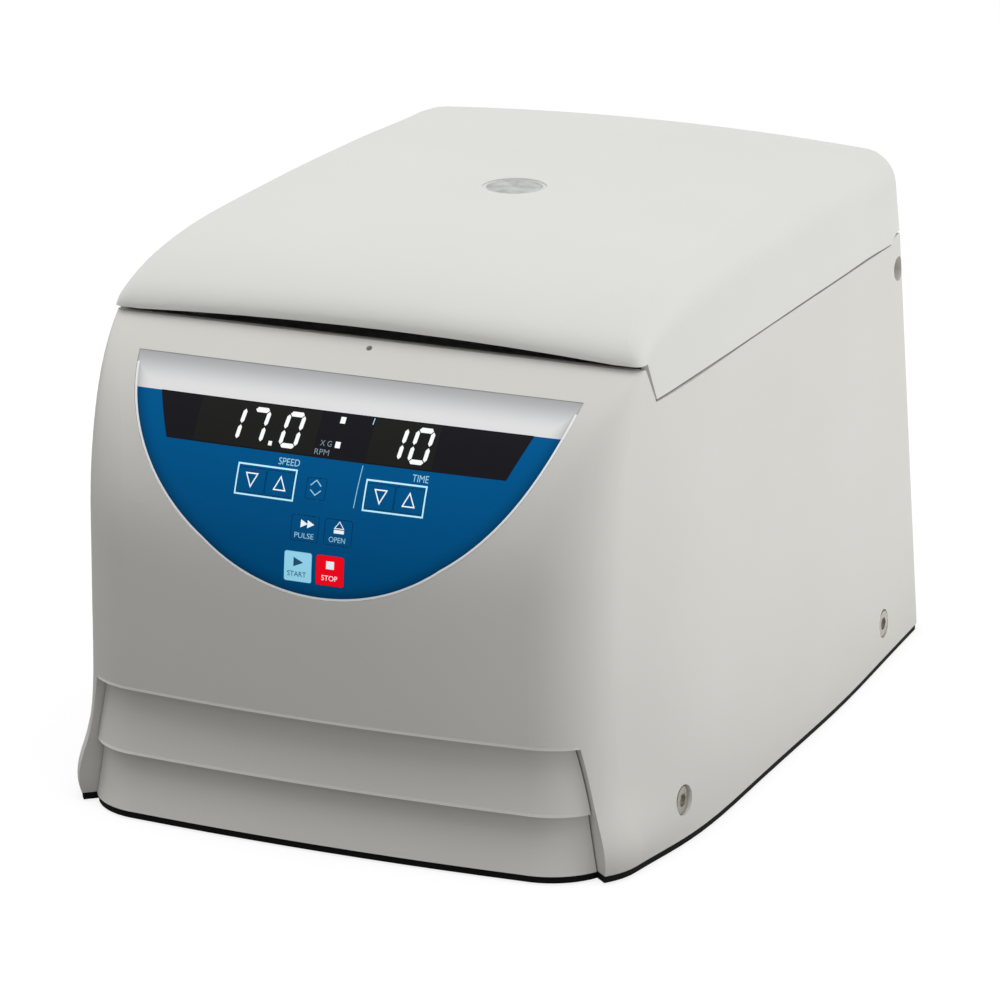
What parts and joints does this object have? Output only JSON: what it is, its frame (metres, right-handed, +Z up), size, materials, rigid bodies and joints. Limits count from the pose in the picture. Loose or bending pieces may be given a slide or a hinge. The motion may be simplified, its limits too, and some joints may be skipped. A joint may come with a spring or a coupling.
{
  "type": "microcentrifuge",
  "caption": "Bench microcentrifuge: moulded housing with hinged lid and sight window, fixed-angle rotor on a direct drive, film keypad with display.",
  "frame": {"origin": "centre of the bounding box's bottom face, on the table", "axes": "+Z up, the keypad front faces -Y, the hinge is at +Y, +X is the right side seen from the front"},
  "size_m": [0.2512, 0.3557, 0.2233],
  "materials": {
    "housing_plastic": "fine satin texture, warm light grey",
    "liner_plastic": "satin grey",
    "window_clear": "clear polished",
    "keypad_film": "printed film, blue",
    "display_dark": "smoked, near black",
    "key_light_blue": "printed film",
    "key_red": "printed film",
    "tray_black": "black powder coat",
    "rubber_black": "matt",
    "screw_steel": "bright zinc",
    "bracket_zinc": "zinc plate",
    "bush_plastic": "acetal",
    "bowl_steel": "spun stainless",
    "rotor_aluminium": "anodised dark grey",
    "nut_aluminium": "turned",
    "motor_aluminium": "die cast",
    "stator_iron": "laminated",
    "black_plastic": "fine texture",
    "blade_brass": "tinned",
    "rear_panel_paint": "fine texture grey",
    "board_green": "solder mask",
    "heat_sink_aluminium": "extruded"
  },
  "bodies": {
    "base": {"housing": "housing_plastic", "lower_front_panel": "housing_plastic", "keypad_overlay": "keypad_film", "display_window": "display_dark", "base_tray": "tray_black", "rubber_feet": "rubber_black", "bowl_gasket": "rubber_black", "shaft_boot": "rubber_black", "rubber_mounts": "rubber_black", "side_screws": "screw_steel", "rear_screws": "screw_steel", "hinge_pins": "screw_steel", "motor_bearings": "screw_steel", "latch_bracket": "bracket_zinc", "pawl_spring": "screw_steel", "lid_springs": "screw_steel", "rotor_bowl": "bowl_steel", "motor_housing": "motor_aluminium", "motor_cap": "motor_aluminium", "mount_pillars": "motor_aluminium", "motor_mount_plate": "bracket_zinc", "motor_stator": "stator_iron", "latch_drive": "black_plastic", "mains_inlet": "black_plastic", "switch_frame": "black_plastic", "inlet_blades": "blade_brass", "rear_panel": "rear_panel_paint", "display_board": "board_green", "control_board": "board_green", "power_board": "board_green", "digit_modules": "display_dark", "board_components": "black_plastic", "board_stands": "bush_plastic", "heat_sink": "heat_sink_aluminium"},
    "lid": {"lid_shell": "housing_plastic", "hinge_bushes": "bush_plastic", "lid_liner": "liner_plastic", "sight_tube": "liner_plastic", "lid_window": "window_clear", "lid_screws": "screw_steel", "latch_hook": "screw_steel"},
    "rotor": {"motor_shaft": "screw_steel", "motor_armature": "stator_iron", "rotor": "rotor_aluminium", "rotor_nut": "nut_aluminium"},
    "key_speed_down": {"key_speed_down": "keypad_film"},
    "key_speed_up": {"key_speed_up": "keypad_film"},
    "key_unit": {"key_unit": "keypad_film"},
    "key_time_down": {"key_time_down": "keypad_film"},
    "key_time_up": {"key_time_up": "keypad_film"},
    "key_pulse": {"key_pulse": "keypad_film"},
    "key_open": {"key_open": "keypad_film"},
    "key_start": {"key_start": "key_light_blue"},
    "key_stop": {"key_stop": "key_red"},
    "pawl": {"latch_pawl": "screw_steel"},
    "rocker": {"power_switch_rocker": "black_plastic"},
    "drawer": {"fuse_drawer": "black_plastic"}
  },
  "joints": [
    {"name": "lid_hinge", "type": "hinge", "parent": "base", "child": "lid", "pos_m": [0, 0.1495, 0.1663], "axis": [-1, 0, 0], "range_deg": [0, 75], "stiffness_Nm_per_rad": 0.45, "springref_deg": 75},
    {"name": "rotor_spin", "type": "hinge", "parent": "base", "child": "rotor", "pos_m": [0, 0.005, 0.1], "axis": [0, 0, 1], "continuous": true},
    {"name": "pawl_swing", "type": "hinge", "parent": "base", "child": "pawl", "pos_m": [0, -0.122, 0.148], "axis": [-1, 0, 0], "range_deg": [0, 12]},
    {"name": "rocker_tilt", "type": "hinge", "parent": "base", "child": "rocker", "pos_m": [0.052, 0.16206, 0.10537], "axis": [1, 0, 0], "range_deg": [0, 12]},
    {"name": "drawer_slide", "type": "slide", "parent": "base", "child": "drawer", "axis": [0, 0.9947, 0.1032], "range_m": [0, 0.015]},
    {"name": "key_speed_down_press", "type": "slide", "parent": "base", "child": "key_speed_down", "axis": [0, 0.9214, -0.3886], "range_m": [0, 0.0004], "stiffness_N_per_m": 1500},
    {"name": "key_speed_up_press", "type": "slide", "parent": "base", "child": "key_speed_up", "axis": [0, 0.9214, -0.3886], "range_m": [0, 0.0004], "stiffness_N_per_m": 1500},
    {"name": "key_unit_press", "type": "slide", "parent": "base", "child": "key_unit", "axis": [0, 0.9214, -0.3886], "range_m": [0, 0.0004], "stiffness_N_per_m": 1500},
    {"name": "key_time_down_press", "type": "slide", "parent": "base", "child": "key_time_down", "axis": [0, 0.9214, -0.3886], "range_m": [0, 0.0004], "stiffness_N_per_m": 1500},
    {"name": "key_time_up_press", "type": "slide", "parent": "base", "child": "key_time_up", "axis": [0, 0.9214, -0.3886], "range_m": [0, 0.0004], "stiffness_N_per_m": 1500},
    {"name": "key_pulse_press", "type": "slide", "parent": "base", "child": "key_pulse", "axis": [0, 0.9696, -0.2446], "range_m": [0, 0.0004], "stiffness_N_per_m": 1500},
    {"name": "key_open_press", "type": "slide", "parent": "base", "child": "key_open", "axis": [0, 0.9696, -0.2446], "range_m": [0, 0.0004], "stiffness_N_per_m": 1500},
    {"name": "key_start_press", "type": "slide", "parent": "base", "child": "key_start", "axis": [0, 0.9951, -0.0986], "range_m": [0, 0.0004], "stiffness_N_per_m": 1500},
    {"name": "key_stop_press", "type": "slide", "parent": "base", "child": "key_stop", "axis": [0, 0.9951, -0.0986], "range_m": [0, 0.0004], "stiffness_N_per_m": 1500}
  ]
}
